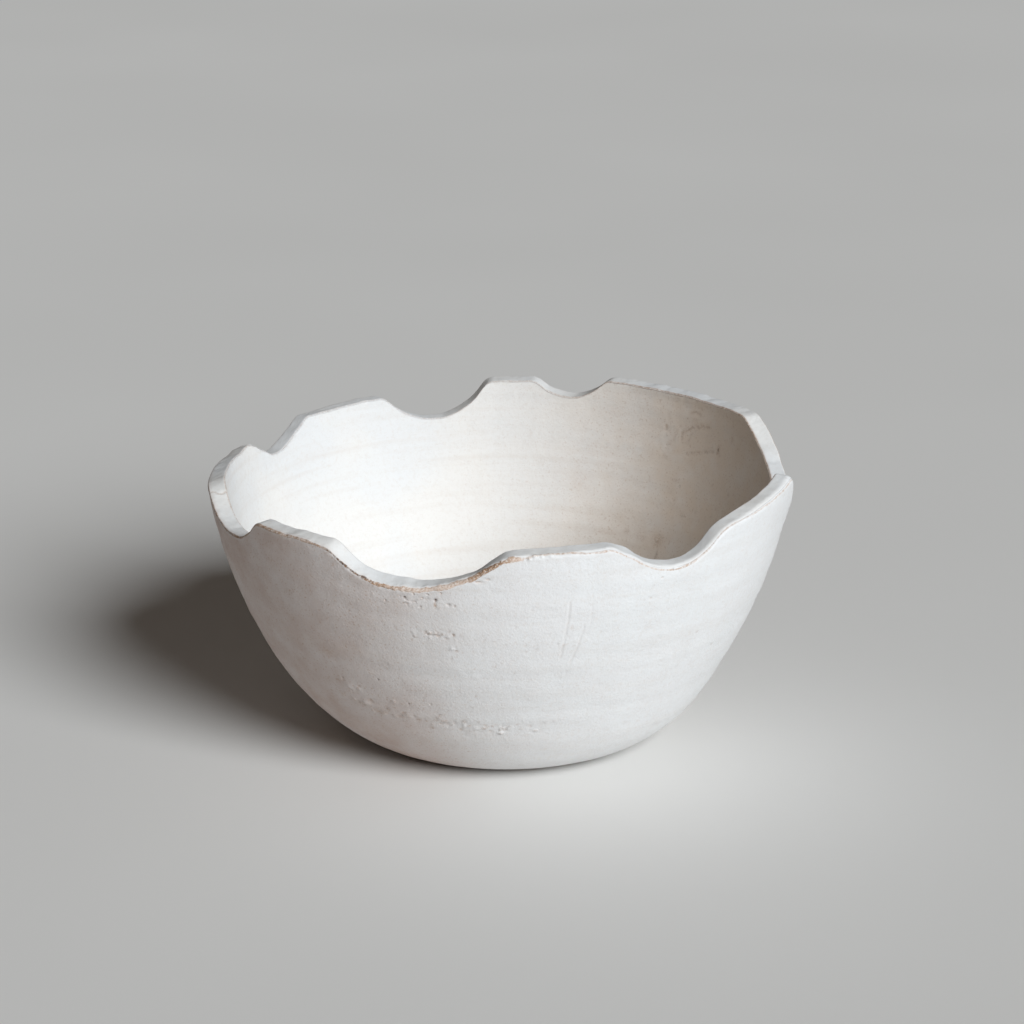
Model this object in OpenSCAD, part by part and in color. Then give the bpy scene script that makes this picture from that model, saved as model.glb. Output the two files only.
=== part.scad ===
// Thrown earthenware punch bowl: a round thick-walled bowl whose rim was cut by hand, while the clay
// was soft, into seven uneven lobes with a scoop between each. It is coated with matte white slip on
// the outside, on the cut face of the rim and on the inside. The clay is bare along both edges of the
// rim, where the slip has worn through, and underneath. Millimetres. The Z axis is the axis of the
// wheel, and Z = 0 is the surface that the bowl stands on. Angles run anticlockwise from +X.

/* [Wall] */
// Thickness of the wall, slip included
wall = 9.5; // [8:0.5:12]
// Thickness of each coat of slip
slip = 0.6; // [0.4:0.1:1]

/* [Outer curve] */
// Radius of the flat that the bowl stands on
base_r = 66; // [62:1:70]
// Slope of the wall where it leaves the table, in degrees from level
heel_slope = 12; // [8:1:16]
// Radius of the curve of the heel
heel_r = 65; // [60:1:70]
// Slope where the heel ends and the belly begins
belly_slope = 43; // [40:1:46]
// Radius of the curve of the belly
belly_r = 120; // [110:5:130]
// Slope where the belly ends and the upper side begins
side_slope = 57; // [55:1:60]
// Radius of the curve of the upper side
side_r = 260; // [240:10:300]

/* [Rim] */
// Height of the highest lobe, at the middle of the wall
crest_h = 154; // [145:0.5:165]
// Depth of the lobes and scoops, where 1 is as cut
cut_depth = 1; // [0.6:0.1:1.2]
// Slope of the cut face, which falls towards the outside, in degrees
rim_fall = 2; // [0:0.5:4]

/* [Bare clay] */
// Height of the worn band below the rim's outer edge
outer_bare = 2.5; // [1:0.5:5]
// Height of the worn line below the rim's inner edge
inner_bare = 1; // [0.5:0.5:3]
// Width of the worn line along each edge of the cut face
face_bare = 1; // [0.5:0.5:2]
// Height of bare clay above the table at the heel
heel_bare = 1.5; // [1:0.5:4]

/* [Hidden] */
$fn = 180;

clay_colour = "#a98468";
slip_colour = "#ece8e3";

// One row to a lobe: the angle where it starts and its drop below the highest lobe there, the angle
// where it ends and its drop there, then the angle and the drop of the bottom of the scoop after it.
lobes = [
    [25, 0, 66, 0, 75, 11],
    [82, 2.5, 93, 3.5, 105, 23.5],
    [116.5, 9, 138, 12, 148, 25.5],
    [152.5, 16.5, 187, 15, 206, 24.5],
    [217, 8.5, 237, 10, 250, 27],
    [271, 8, 291, 6.5, 306, 22.5],
    [316, 9, 344, 0, 356, 23.5]
];
lobe_count = len(lobes);

// The cut runs out across the wall from the first of these radii, and the drops are at the second.
cut_in = 90;
cut_middle = 150;
cut_length = 100;
cut_headroom = 30;
cut_top = crest_h + cut_headroom;
wall_headroom = 6;
sector_overlap = 1;

// A wide enough block to trim with.
far = 400;

// Direction straight out of the wall where its slope is a, and the centres of the three curves. Each
// curve starts where the one below it ends, with the same slope.
function outward(a) = [sin(a), -cos(a)];
heel_c = [base_r, 0] - heel_r * outward(heel_slope);
belly_c = heel_c + (heel_r - belly_r) * outward(belly_slope);
side_c = belly_c + (belly_r - side_r) * outward(side_slope);

// Lowest level of the curve that lies at a depth inside the outer face.
function floor_z(depth) = max(0, heel_c.y - heel_r + depth);

// Angle from one direction round to another, from 0 to 360.
function turn(from, to) = (to - from + 720) % 360;

// Level of the rim at a drop, and the distance along the rim that an angle spans.
function level_at(drop) = crest_h - cut_depth * drop;
function along(angle) = cut_middle * sin(angle);

// A level to the nearest thousandth, so that two bands that meet share an edge exactly.
function snapped(level) = round(level * 1000) / 1000;

// Half section of everything within the outer face, less a depth all over. The deeper it lies, the
// higher it reaches, so that a ring between two depths is open at the top.
module within(depth) {
    floor_level = snapped(floor_z(depth));
    heel_top = snapped((heel_c + (heel_r - depth) * outward(belly_slope)).y);
    belly_top = snapped((belly_c + (belly_r - depth) * outward(side_slope)).y);
    side_top = snapped(crest_h + wall_headroom + depth);
    translate([0, floor_level])
        square([heel_c.x, heel_top - floor_level]);
    band(heel_c, heel_r - depth, floor_level, heel_top);
    band(belly_c, belly_r - depth, heel_top, belly_top);
    band(side_c, side_r - depth, belly_top, side_top);
}

// Part of a disc to the right of the axis, between two levels.
module band(centre, radius, low, high) {
    intersection() {
        translate(centre)
            circle(radius, $fn = 360);
        translate([0, low])
            square([far, high - low]);
    }
}

// Ring of the wall that lies between two depths, from a level upwards.
module ring(near, deep, level) {
    rotate_extrude()
        difference() {
            within(near);
            within(deep);
            translate([-1, -far])
                square([far, far + level]);
        }
}

// A flat outline, with X along the rim and Y upwards, carried out through the wall at an angle.
module cut_through(angle) {
    rotate([0, 0, angle])
        translate([cut_middle, 0, 0])
            rotate([0, rim_fall, 0])
                translate([cut_in - cut_middle, 0, 0])
                    rotate([90, 0, 90])
                        linear_extrude(cut_length)
                            children();
}

// Everything above the straight top of one lobe, between the bottoms of the scoops at its two ends.
module above_lobe(i, lowered) {
    row = lobes[i];
    half = turn(row[0], row[2]) / 2;
    middle = row[0] + half;
    before = turn(lobes[(i + lobe_count - 1) % lobe_count][4], middle) + sector_overlap;
    after = turn(middle, row[4]) + sector_overlap;
    rise = (level_at(row[3]) - level_at(row[1])) / (2 * along(half));
    level = (level_at(row[3]) + level_at(row[1])) / 2 - lowered;
    intersection() {
        cut_through(middle)
            polygon([
                [-cut_middle, level - cut_middle * rise],
                [cut_middle, level + cut_middle * rise],
                [cut_middle, cut_top + far],
                [-cut_middle, cut_top + far]
            ]);
        rotate([0, 0, middle])
            linear_extrude(cut_top)
                polygon([
                    [0, 0],
                    far * [cos(before), -sin(before)],
                    far * [cos(after), sin(after)]
                ]);
    }
}

// One side of a scoop: level at the bottom, and a round arc up to the corner of the lobe beside it.
module scoop_side(reach, rise) {
    radius = (reach * reach + rise * rise) / (2 * rise);
    intersection() {
        translate([0, radius])
            circle(radius);
        square(radius);
    }
    translate([0, radius])
        square([radius, far]);
}

// Everything above one scoop.
module above_scoop(i, lowered) {
    row = lobes[i];
    next = lobes[(i + 1) % lobe_count];
    bottom = level_at(row[5]);
    cut_through(row[4])
        translate([0, bottom - lowered]) {
            scoop_side(along(turn(row[4], next[0])), level_at(next[1]) - bottom);
            mirror([1, 0])
                scoop_side(along(turn(row[2], row[4])), level_at(row[3]) - bottom);
        }
}

// Everything above the cut face, which is lowered by an amount.
module above_cut(lowered) {
    for (i = [0 : lobe_count - 1]) {
        above_lobe(i, lowered);
        above_scoop(i, lowered);
    }
}

// Fired clay: the whole wall and floor under the slip, with the cut rim.
module clay_body() {
    color(clay_colour)
        difference() {
            ring(slip, wall - slip, 0);
            above_cut(slip);
        }
}

// Coat of slip on the outside, from just above the table to the worn band under the rim.
module outer_slip() {
    color(slip_colour)
        difference() {
            ring(0, slip, heel_bare);
            above_cut(outer_bare);
        }
}

// Coat of slip on the inside, floor and wall, up to the worn line at the rim.
module inner_slip() {
    color(slip_colour)
        difference() {
            ring(wall - slip, wall, 0);
            above_cut(inner_bare);
        }
}

// Coat of slip on the cut face of the rim, between its two worn edges.
module rim_slip() {
    color(slip_colour)
        difference() {
            intersection() {
                ring(slip + face_bare, wall - slip - face_bare, cut_middle / 2);
                above_cut(slip);
            }
            above_cut(0);
        }
}

clay_body();
outer_slip();
inner_slip();
rim_slip();
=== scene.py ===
import math
import random
from collections import namedtuple

import bmesh
import bpy
import numpy as np
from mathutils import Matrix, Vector, noise
from mathutils.bvhtree import BVHTree


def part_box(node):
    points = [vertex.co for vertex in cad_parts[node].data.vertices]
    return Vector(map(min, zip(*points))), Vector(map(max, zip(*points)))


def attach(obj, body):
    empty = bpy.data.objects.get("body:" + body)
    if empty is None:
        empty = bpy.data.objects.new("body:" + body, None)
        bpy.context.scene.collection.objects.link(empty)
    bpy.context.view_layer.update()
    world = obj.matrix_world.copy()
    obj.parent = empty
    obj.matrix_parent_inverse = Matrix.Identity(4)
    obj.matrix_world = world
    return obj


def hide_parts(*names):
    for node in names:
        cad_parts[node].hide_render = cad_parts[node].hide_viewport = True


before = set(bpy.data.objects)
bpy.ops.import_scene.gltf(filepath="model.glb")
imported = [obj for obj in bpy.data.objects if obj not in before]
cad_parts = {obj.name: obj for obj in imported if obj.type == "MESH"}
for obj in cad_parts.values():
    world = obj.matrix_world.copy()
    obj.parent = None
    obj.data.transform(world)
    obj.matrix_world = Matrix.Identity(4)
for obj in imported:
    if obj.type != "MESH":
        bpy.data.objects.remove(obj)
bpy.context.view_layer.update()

# A thrown earthenware punch bowl, coated with matte white slip. The shape is measured from the CAD
# frame and rebuilt as finer meshes: a solid clay body and three thin coats of slip. Shapes are worked
# out in millimetres and degrees, and become metres when a mesh is made. A bearing is the angle round
# the bowl's axis, anticlockwise from the x axis.
MM = 0.001

# ---- measuring the frame

COLUMNS = 1440
BEARINGS = np.arange(COLUMNS) * 360.0 / COLUMNS

# The section is measured from a point on the axis, by angles up from straight down.
POLE = 150.0
SWEEP = np.arange(0.0, 96.0, 0.25)

# Bearings of the measured section, radii across the rim's cut face, and the radius at its middle.
TALL_LOBE = np.arange(28.0, 62.0, 2.0)
RIM_RADII = np.arange(138.0, 156.0, 1.0)
RIM_MIDDLE = 149.0

# Where rays towards the pole start, and how far rays travel.
FAR_OUT = 400.0
OUTSIDE_TRAVEL = 300.0
INSIDE_TRAVEL = 200.0

# Steps of the sweep for smoothing a measured curve, and for its end slopes.
SECTION_BLEND = 10
SLOPE_STEPS = 4


def tree_of(node):
    """Ray-casting tree of a CAD node, in millimetres."""
    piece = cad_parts[node]
    corners = [piece.matrix_world @ v.co / MM for v in piece.data.vertices]
    return BVHTree.FromPolygons(corners, [tuple(f.vertices) for f in piece.data.polygons])


def smoothed(values, reach, closed=False):
    """Values averaged over their neighbours, out to a number of steps."""
    weights = np.hanning(2 * reach + 3)[1:-1]
    if closed:
        longer = np.concatenate([values[-reach:], values, values[:reach]])
    else:
        steps = np.arange(1, reach + 1)
        first = (values[reach] - values[0]) / reach
        last = (values[-1] - values[-1 - reach]) / reach
        longer = np.concatenate([values[0] - first * steps[::-1], values, values[-1] + last * steps])
    return np.convolve(longer, weights / weights.sum(), mode="valid")


def section_reach(tree, start, travel):
    """Distance from the pole to a coat of slip at each angle of the sweep, smoothed and extended.

    The rays run out from the pole, or in towards it from far outside, where start is not zero."""
    pole = Vector((0, 0, POLE))
    found = np.full(len(SWEEP), np.nan)
    for i, angle in enumerate(np.radians(SWEEP)):
        for bearing in np.radians(TALL_LOBE):
            ray = Vector((
                math.sin(angle) * math.cos(bearing),
                math.sin(angle) * math.sin(bearing),
                -math.cos(angle),
            ))
            hit = tree.ray_cast(pole + ray * start, -ray if start else ray, travel)[0]
            if hit is not None:
                found[i] = np.nanmax([found[i], (hit - pole).length])
    seen = np.flatnonzero(~np.isnan(found))
    span = SWEEP[seen[0]:seen[-1] + 1]
    reach = smoothed(np.interp(span, SWEEP[seen], found[seen]), SECTION_BLEND)
    low_slope = (reach[SLOPE_STEPS] - reach[0]) / (span[SLOPE_STEPS] - span[0])
    before = -1 - SLOPE_STEPS
    high_slope = (reach[-1] - reach[before]) / (span[-1] - span[before])
    whole = np.interp(SWEEP, span, reach)
    whole += np.minimum(SWEEP - span[0], 0) * low_slope
    whole += np.maximum(SWEEP - span[-1], 0) * high_slope
    return whole


def rim_line(tree):
    """Level of the cut face at the middle radius, at each bearing, and its fall outwards."""
    levels = []
    falls = []
    for bearing in np.radians(BEARINGS):
        hits = []
        for radius in RIM_RADII:
            start = Vector((radius * math.cos(bearing), radius * math.sin(bearing), 2 * POLE))
            hit = tree.ray_cast(start, Vector((0, 0, -1)))[0]
            if hit is not None and hit.z > POLE / 2:
                hits.append((radius, hit.z))
        radii, heights = np.array(hits).T
        slope = np.polyfit(radii, heights, 1)[0] if len(hits) > 2 else 0.0
        falls.append(slope)
        levels.append(heights.mean() + slope * (RIM_MIDDLE - radii.mean()))
    return np.array(levels), float(np.median(falls))


outer_reach = section_reach(tree_of("outer_slip"), FAR_OUT, OUTSIDE_TRAVEL)
inner_reach = section_reach(tree_of("inner_slip"), 0.0, INSIDE_TRAVEL)
raw_rim, rim_slope = rim_line(tree_of("rim_slip"))

# ---- the skin, as rows round the bowl

# How far the corners along the rim line are softened, in columns.
RIM_BLEND = 9

# Small waves in the rim line and in its two roundings: a seed, the numbers of waves and their sizes.
RIM_WAVES = (3, (23, 31, 47, 64, 91), (0.10, 0.10, 0.08, 0.07, 0.05))
OUTER_ROUND_WAVES = (5, (5, 9, 17, 29), (0.06, 0.06, 0.06, 0.05))
INNER_ROUND_WAVES = (6, (4, 11, 19), (0.12, 0.1, 0.1))

# Angles of the section among which a wall meets the cut face, and a step for the slope of a curve.
CORNER_STEP = 0.05
CORNER_SWEEP = np.arange(60.0, 95.5, CORNER_STEP)
SLOPE_ANGLE = 0.3

# Angles between which the outside reaches the ground, and the angle where the bowl's floor begins.
FOOT_ANGLES = (15.0, 50.0)
BASIN_ANGLE = 22.0

# Where the hand-cut face differs a little from its plane: a bearing and how far its line is lifted
# there, along the outer and the inner edge.
OUTER_LIFT = [
    (11, 0), (16, 1.2), (20, 1.2), (24, 0), (138, 0), (139.7, 0.2), (141, 2.3), (143, 1.9),
    (146.3, 0.9), (148, 0.3), (150, -0.6), (152, -0.8), (155, 0), (192, 0), (198, -0.6), (203, -0.8),
    (206, -0.5), (210, 0.2), (213, 0.3), (216, -0.8), (218, -1.5), (224, -0.9), (229, -0.3), (231, 0),
    (234, -0.8), (236, -2), (238, -2), (242, -0.8), (248, -0.6), (254, -0.6), (262, -0.4), (272, 0),
    (289, 0), (291, 0.5), (293, 1.6), (295, 2.2), (297, 1), (299, 0.3), (302, 0),
]
INNER_LIFT = [
    (2, 0.8), (9, 0.8), (15, 0.3), (22, -1), (30, -0.7), (90, -0.7), (110, 0), (125, 0.3), (130, 0.5),
    (135, 1), (138.2, 1.2), (140, 2), (141.2, 4.2), (142.3, 3.8), (143.7, 2.6), (145.7, 2),
    (148.4, 1.6), (150, 0.2), (152, -3.2), (153.7, -4.4), (155.5, -1.6), (157.3, 1.4), (159, 3.2),
    (161, 3.6), (165, 2.6), (184, 2.4), (188, 1.2), (192, -0.8), (200, -1.6), (208, -1.6), (213, -0.6),
    (217, -0.8), (222, -0.8), (228, 0.2), (234, 0.5), (241, 1.2), (245, 2), (248, 2.8), (254, 0.9),
    (260, -0.4), (266, -1.8), (270, 0.5), (278, 1), (286, 0.8), (289, 0.3), (291.5, 0.8), (293.5, 4.2),
    (295.3, 4.6), (297, 2.6), (299, 1.6), (303, 1.5), (306, 0.6), (308, -0.2), (311, -1), (314, -1.8),
    (317, -0.9), (319, -0.1), (323, 0.6), (327, 0.4), (330, -0.6), (336, 0), (342, 0.6), (346, 0.3),
    (352, 0.4),
]

# Rounding of the cut face's outer edge by bearing, and of its inner edge, and the rows round each.
OUTER_ROUND = [
    (0, 1.8), (20, 1.1), (200, 1), (225, 1.3), (238, 2.2), (300, 2.5), (325, 2.7), (338, 3.1),
    (346, 3.4), (352, 3),
]
INNER_ROUND = 0.9
OUTER_ARC_ROWS = 11
INNER_ARC_ROWS = 6

# One row: (r, level) and the direction out of the clay at each bearing, and how far along the section
# it lies from the middle of each rounded edge (negative on the outer side).
Row = namedtuple("Row", "place out outer_edge inner_edge underside")

# One side of the wall: its curve, the rounded edge at its top as (place, out, distance from the edge's
# middle), half the length of that rounding, 1 outside or -1 inside, and the angle where its rows begin.
Side = namedtuple("Side", "reach arc half sign low_angle")

# Distances below a rounded edge at which the wall has rows that follow the rim. Below them the rows
# turn level.
NEAR_RIM = (0.5, 1.0, 1.6, 2.3, 3.1, 4.0, 5.1, 6.4, 8.0, 10.0)
SPARSE_NEAR_RIM = NEAR_RIM[2::3]

# Stands for a distance from an edge on surfaces that are nowhere near it.
FAR = 200.0
NEARLY_FAR = 0.99 * FAR


def by_bearing(table, bearings, column=1):
    """A column of a table, whose first column is the bearing, read at any bearings."""
    return np.interp(bearings, [row[0] for row in table], [row[column] for row in table], period=360)


def section_points(reach, angles):
    """(r, level) on a measured curve at an angle for each bearing."""
    distance = np.interp(angles, SWEEP, reach)
    turned = np.radians(angles)
    return np.stack([distance * np.sin(turned), POLE - distance * np.cos(turned)], axis=-1)


def unit(vectors):
    return vectors / np.linalg.norm(vectors, axis=-1, keepdims=True)


def uphill(reach, angles):
    """Direction along a measured curve towards the rim."""
    return unit(section_points(reach, angles + SLOPE_ANGLE) - section_points(reach, angles - SLOPE_ANGLE))


def turned_right(vectors):
    return np.stack([vectors[..., 1], -vectors[..., 0]], axis=-1)


def corner_angles(reach, lift):
    """Angle at which a curve meets the cut face, lifted by a little, at each bearing."""
    curve = section_points(reach, CORNER_SWEEP)
    face = (rim + lift)[:, None] + rim_slope * (curve[None, :, 0] - RIM_MIDDLE)
    above = curve[None, :, 1] - face
    first = np.argmax(above > 0, axis=1)
    here = np.arange(COLUMNS)
    low, high = above[here, first - 1], above[here, first]
    return CORNER_SWEEP[first - 1] + CORNER_STEP * low / (low - high)


def rounded_corner(corner, side_a, side_b, radius, count):
    """Round corner from side a to side b: its points, which way is out, and half its length."""
    half = 0.5 * np.arccos(np.clip((side_a * side_b).sum(-1), -1, 1))
    middle = corner + unit(side_a + side_b) * (radius / np.sin(half))[:, None]
    first = unit(corner + side_a * (radius / np.tan(half))[:, None] - middle)
    last = unit(corner + side_b * (radius / np.tan(half))[:, None] - middle)
    sweep = math.pi - 2 * half
    rows = []
    for t in np.linspace(0, 1, count):
        ray = np.sin((1 - t) * sweep)[:, None] * first + np.sin(t * sweep)[:, None] * last
        ray = ray / np.sin(sweep)[:, None]
        rows.append((middle + ray * radius[:, None], ray, (t - 0.5) * sweep * radius))
    return rows, sweep * radius / 2


def cycles(seed, counts, sizes):
    """A smooth closed wave round the bowl, made of whole numbers of waves."""
    dice = random.Random(seed)
    total = np.zeros(COLUMNS)
    for count, size in zip(counts, sizes):
        total += size * np.sin(np.radians(BEARINGS) * count + dice.uniform(0, 2 * math.pi))
    return total


def side_row(side, place, out, edge):
    """A row of one side of the wall, from how far it lies past the middle of that side's edge."""
    flat = np.zeros(COLUMNS)
    if side.sign > 0:
        return Row(place, out, edge, flat - FAR, flat)
    return Row(place, out, flat + FAR, edge, flat)


def wall_rows(side, count, near):
    """Rows of a wall from low down up to its rounded edge, without the edge itself."""
    edge_place = side.arc[0][0] if side.sign > 0 else side.arc[-1][0]
    radius = np.linalg.norm(edge_place - [0, POLE], axis=-1)
    top_angle = np.degrees(np.arctan2(edge_place[:, 0], POLE - edge_place[:, 1]))
    last = top_angle - np.degrees(near[-1] / radius)
    spacing = np.linspace(0, 1, count, endpoint=False)
    angles = [side.low_angle + (last - side.low_angle) * t for t in spacing]
    angles += [top_angle - np.degrees(below / radius) for below in near[::-1]]
    rows = []
    for angle in angles:
        place = section_points(side.reach, angle)
        out = turned_right(uphill(side.reach, angle)) * side.sign
        below = side.half + np.radians(top_angle - angle) * radius
        rows.append(side_row(side, place, out, -side.sign * below))
    return rows


def arc_rows(side):
    """Rows of one rounded edge."""
    return [side_row(side, *point) for point in side.arc]


def face_rows(count):
    """Rows of the cut face, between its two rounded edges."""
    start, end = outside.arc[-1][0], inside.arc[0][0]
    width = np.linalg.norm(end - start, axis=-1)
    out = unit(turned_right(end - start))
    rows = []
    for t in np.linspace(0, 1, count + 2)[1:-1]:
        rows.append(Row(start + (end - start) * t, out, outside.half + t * width,
                        -inside.half - (1 - t) * width, np.zeros(COLUMNS)))
    return rows


def level_row(radius, level, up, underside):
    """One row of a nearly level surface: the floor of the bowl, or its underside."""
    flat = np.zeros(COLUMNS)
    beyond = flat + (-FAR if underside else FAR)
    return Row(flat[:, None] + [radius, level], flat[:, None] + [0.0, up], beyond, beyond,
               flat + float(underside))


rim = smoothed(raw_rim, RIM_BLEND, closed=True)
rim += cycles(*RIM_WAVES)
outer_lift = smoothed(by_bearing(OUTER_LIFT, BEARINGS), RIM_BLEND, closed=True)
inner_lift = smoothed(by_bearing(INNER_LIFT, BEARINGS), RIM_BLEND, closed=True)
outer_round = by_bearing(OUTER_ROUND, BEARINGS) * (1 + cycles(*OUTER_ROUND_WAVES))
inner_round = INNER_ROUND + cycles(*INNER_ROUND_WAVES)

outer_corner = corner_angles(outer_reach, outer_lift)
inner_corner = corner_angles(inner_reach, inner_lift)
outer_top = section_points(outer_reach, outer_corner)
inner_top = section_points(inner_reach, inner_corner)
across = unit(inner_top - outer_top)
outer_down = -uphill(outer_reach, outer_corner)
inner_down = -uphill(inner_reach, inner_corner)
outer_arc, outer_half = rounded_corner(outer_top, outer_down, across, outer_round, OUTER_ARC_ROWS)
inner_arc, inner_half = rounded_corner(inner_top, -across, inner_down, inner_round, INNER_ARC_ROWS)

# The outside starts where its curve reaches the ground, and the inside where the bowl's floor begins.
outer_curve = section_points(outer_reach, SWEEP)
rising = (SWEEP > FOOT_ANGLES[0]) & (SWEEP < FOOT_ANGLES[1])
foot_angle = float(np.interp(0.0, outer_curve[rising, 1], SWEEP[rising]))
foot_radius = float(np.interp(0.0, outer_curve[rising, 1], outer_curve[rising, 0]))
outside = Side(outer_reach, outer_arc, outer_half, 1, foot_angle)
inside = Side(inner_reach, inner_arc, inner_half, -1, BASIN_ANGLE)

# ---- marks on the surface

# One mark: where it is, its half width and half height, how far it stands out (or in, if negative),
# and how strongly the clay shows through there and how dark it is, from 0, which is left out, to 1.
Mark = namedtuple("Mark", "bearing level wide tall raised stain dark", defaults=(0.0, 0.0))

OUTER_MARKS = [Mark(*row) for row in (
    # A deep pit with a run of brown below it, and two smaller ones.
    (257.8, 121.2, 0.8, 1.0, -0.80, 1.00, 1.00),
    (257.7, 118.4, 0.7, 1.6, -0.15, 1.00, 0.50),
    (251.8, 121.5, 0.7, 0.7, -0.60, 1.00, 1.00),
    (304.4, 130.1, 0.7, 0.6, -0.50, 0.90, 0.90),
    # Holes in the rough patch under the deep scoop.
    (252.2, 118.1, 0.7, 0.6, -0.45, 0.40, 0.60),
    (253.7, 119.6, 0.9, 0.5, -0.35, 0.40, 0.50),
    (254.8, 116.9, 0.6, 0.6, -0.45, 0.45, 0.60),
    (260.4, 119.1, 1.0, 0.8, -0.45, 0.50, 0.70),
    (261.4, 118.6, 0.7, 0.7, -0.45, 0.50, 0.65),
    (253.6, 123.7, 0.6, 0.6, -0.40, 0.55, 0.60),
    (256.3, 124.1, 0.8, 0.5, -0.40, 0.60, 0.70),
    (258.9, 125.4, 0.7, 0.5, -0.40, 0.55, 0.65),
    (247.8, 118.4, 0.7, 0.8, -0.35, 0.50, 0.60),
    # A flake lost below the worn part of the edge.
    (266.0, 132.4, 1.8, 0.7, -0.50, 0.70, 0.45),
    (267.7, 134.0, 1.1, 0.6, -0.40, 0.65, 0.40),
    # Chips of slip that stand out on the front.
    (260.3, 93.6, 0.9, 0.8, 0.55),
    (261.2, 92.2, 0.8, 0.6, -0.25, 0.60, 0.50),
    (264.7, 76.6, 1.8, 0.6, 0.50),
    (261.0, 44.5, 0.8, 1.8, 0.50),
    (263.7, 42.1, 1.4, 0.8, 0.50),
    (270.0, 39.5, 2.2, 1.1, 0.50),
    (284.0, 105.4, 0.9, 1.0, -0.25, 0.45, 0.35),
    # Lumps low on the left, with brown round them.
    (242.3, 68.6, 0.6, 0.6, -0.50, 0.80, 0.90),
    (248.4, 55.2, 0.6, 0.6, -0.50, 0.80, 0.90),
    (232.1, 63.9, 0.8, 1.3, -0.40, 0.60, 0.70),
    (233.2, 59.6, 3.0, 1.8, 0.70),
    (230.4, 61.6, 2.4, 1.6, -0.30, 0.40, 0.50),
    (236.2, 50.6, 2.2, 1.5, 0.65),
    (237.9, 52.6, 1.6, 1.3, -0.35, 0.55, 0.55),
    (235.0, 48.6, 2.0, 0.8, -0.30, 0.50, 0.55),
    (244.7, 55.4, 1.1, 1.0, 0.55),
    (239.6, 45.5, 3.5, 1.1, 0.00, 0.45, 0.40),
    (244.9, 45.2, 3.0, 1.0, 0.00, 0.45, 0.40),
    (230.6, 78.9, 4.0, 3.0, 0.00, 0.35, 0.40),
)]
INNER_MARKS = [Mark(*row) for row in (
    # Two deep spots and the smudges near them.
    (49.7, 133.6, 1.4, 1.1, -0.30, 0.75, 0.60),
    (33.0, 129.8, 1.3, 2.0, -0.40, 0.85, 0.65),
    (48.2, 125.3, 1.8, 1.4, 0.00, 0.35, 0.50),
    (45.7, 136.3, 0.9, 0.7, -0.15, 0.40, 0.50),
    (28.6, 138.4, 0.8, 2.4, -0.10, 0.40, 0.50),
    (44.2, 107.0, 2.2, 1.6, 0.00, 0.40, 0.35),
    (42.8, 104.2, 0.7, 0.7, -0.25, 0.70, 0.70),
    # A blotch low down with a run below it, and the smears beside it.
    (44.9, 74.1, 4.0, 3.6, 0.00, 0.55, 0.50),
    (44.0, 66.4, 0.9, 4.0, 0.00, 0.50, 0.60),
    (55.2, 74.9, 1.8, 1.2, 0.00, 0.50, 0.50),
    (50.6, 74.1, 4.0, 2.5, 0.00, 0.38, 0.40),
    (62.0, 73.0, 13.0, 1.4, 0.00, 0.26, 0.40),
    (70.8, 96.0, 3.5, 6.0, 0.00, 0.18, 0.30),
)]

# Bent lines on the surface: their points as (bearing, level), half width, how far they stand out, and
# how strongly the clay shows through them.
Trace = namedtuple("Trace", "points wide raised stain")

OUTER_TRACES = [
    Trace([(283.2, 119.4), (283.1, 108.0), (282.3, 87.2)], 0.5, -0.40, 0.12),
    Trace([(286.5, 104.7), (285.6, 93.0), (284.4, 83.4)], 0.5, -0.40, 0.12),
    Trace([(287.6, 118.0), (287.9, 108.0), (287.2, 100.0)], 0.5, -0.20, 0.05),
    Trace([(278.5, 115.8), (281.8, 115.2)], 0.5, -0.25, 0.05),
]
INNER_TRACES = [
    Trace([(44.9, 129.5), (45.1, 132.8), (43.3, 135.4), (42.1, 137.4), (39.8, 139.0), (37.1, 139.7)],
          0.9, -0.15, 0.50),
    Trace([(43.6, 144.2), (41.8, 146.1), (40.2, 145.0)], 0.8, -0.10, 0.35),
    Trace([(42.7, 122.6), (38.5, 125.4), (34.5, 128.0)], 0.7, -0.15, 0.50),
    Trace([(40.0, 137.6), (42.4, 133.6), (42.9, 128.5)], 0.9, 0.00, 0.22),
    Trace([(47.2, 128.0), (46.4, 133.0)], 0.8, 0.00, 0.25),
]

# Cracks across the cut face: bearing, half width, depth and how strongly the clay shows through.
FACE_CRACKS = [(189.0, 0.5, 0.35, 0.65)]


def scattered(seed, count, bearings, levels, sizes, heights, stain):
    """Small marks strewn over a patch, more thickly towards its middle."""
    dice = random.Random(seed)
    marks = []
    for _ in range(count):
        size = dice.uniform(*sizes)
        marks.append(Mark(dice.triangular(*bearings), dice.triangular(*levels), size * dice.uniform(1, 1.6),
                          size, dice.uniform(*heights), stain * dice.random(), dice.uniform(0.3, 0.8)))
    return marks


# Low on the front and on the left.
OUTER_MARKS += scattered(11, 44, (252, 284), (37, 47), (0.5, 1.0), (-0.35, 0.50), 0.6)
OUTER_MARKS += scattered(12, 34, (230, 262), (42, 51), (0.6, 1.3), (-0.35, 0.35), 0.7)
OUTER_MARKS += scattered(13, 18, (228, 239), (48, 65), (0.6, 1.2), (-0.35, 0.50), 0.7)
# The rough patch under the deep scoop, the streak below it, and beside the long scratches.
OUTER_MARKS += scattered(14, 26, (246, 263), (115, 127), (0.4, 0.7), (-0.45, 0.30), 0.6)
OUTER_MARKS += scattered(15, 36, (252, 263), (98, 104), (0.5, 0.8), (-0.40, 0.40), 0.7)
OUTER_MARKS += scattered(16, 22, (270, 285), (92, 101), (0.4, 0.7), (-0.35, 0.25), 0.4)
# Thinly over the whole front, and over the back.
OUTER_MARKS += scattered(17, 70, (190, 350), (20, 140), (0.4, 0.7), (-0.35, 0.25), 0.5)
OUTER_MARKS += scattered(18, 40, (-10, 190), (25, 135), (0.5, 1.0), (-0.35, 0.30), 0.5)
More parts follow.
